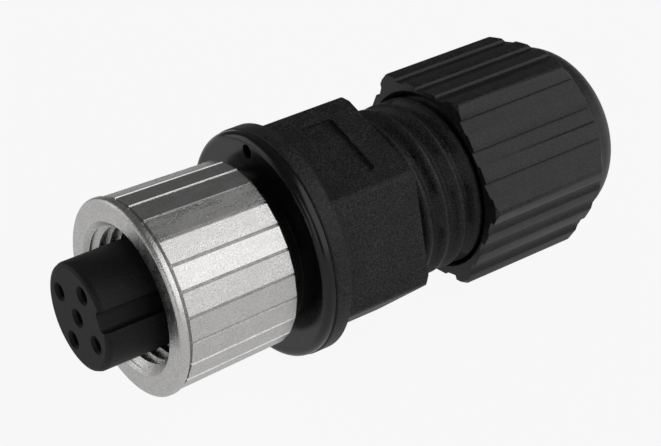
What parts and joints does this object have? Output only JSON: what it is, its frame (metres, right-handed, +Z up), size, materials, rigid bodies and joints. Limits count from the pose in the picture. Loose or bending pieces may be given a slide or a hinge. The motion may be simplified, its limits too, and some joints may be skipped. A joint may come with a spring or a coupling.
{
  "type": "m12 connector",
  "caption": "Straight field-wireable M12 female connector: keyed contact insert, threaded coupling nut, flanged hexagonal housing and loosened clamping gland nut.",
  "frame": {"origin": "on the connector's axis, at the mating face of the contact insert", "axes": "+X along the connector from the mating face to the cable end, +Z up with one flat of the gland nut facing down"},
  "size_m": [0.0494, 0.0196, 0.0196],
  "materials": {
    "insert": "fine matt moulding",
    "nut": "satin nickel plate",
    "collar": "glossy black",
    "housing": "finely speckled matt black",
    "gland_nut": "matt black",
    "cage": "satin black",
    "washer": "natural moulding",
    "seal": "matt rubber",
    "contact": "gold plate",
    "screw": "zinc plate"
  },
  "bodies": {
    "carrier": {"female_insert": "insert", "terminal_block": "insert", "mating_seal": "seal", "flange_collar": "collar", "housing_seal": "seal", "contact_1": "contact", "contact_2": "contact", "contact_3": "contact", "contact_4": "contact", "contact_5": "contact", "terminal_screw_1": "screw", "terminal_screw_2": "screw", "terminal_screw_3": "screw", "terminal_screw_4": "screw", "terminal_screw_5": "screw"},
    "nut": {"coupling_nut": "nut"},
    "sleeve": {"cable_seal": "seal"},
    "shell": {"housing": "housing"},
    "clamp": {"clamping_cage": "cage", "thrust_washer": "washer"},
    "gland": {"gland_nut": "gland_nut"}
  },
  "joints": [
    {"name": "nut_spin", "type": "hinge", "parent": "carrier", "child": "nut", "pos_m": [0.0095, 0, 0], "axis": [1, 0, 0], "continuous": true},
    {"name": "housing_feed", "type": "slide", "parent": "carrier", "child": "sleeve", "axis": [1, 0, 0], "range_m": [0, 0.004]},
    {"name": "housing_turn", "type": "hinge", "parent": "sleeve", "child": "shell", "pos_m": [0.0185, 0, 0], "axis": [1, 0, 0], "range_deg": [0, 1440]},
    {"name": "gland_feed", "type": "slide", "parent": "shell", "child": "clamp", "axis": [1, 0, 0], "range_m": [-0.0052, 0.0017]},
    {"name": "gland_turn", "type": "hinge", "parent": "clamp", "child": "gland", "pos_m": [0.041, 0, 0], "axis": [1, 0, 0], "range_deg": [-1100, 360]}
  ],
  "couplings": [
    {"joint": "housing_feed", "follows": "housing_turn", "m_per_rad": 0.00015915},
    {"joint": "gland_feed", "follows": "gland_turn", "m_per_rad": 0.00027056}
  ]
}
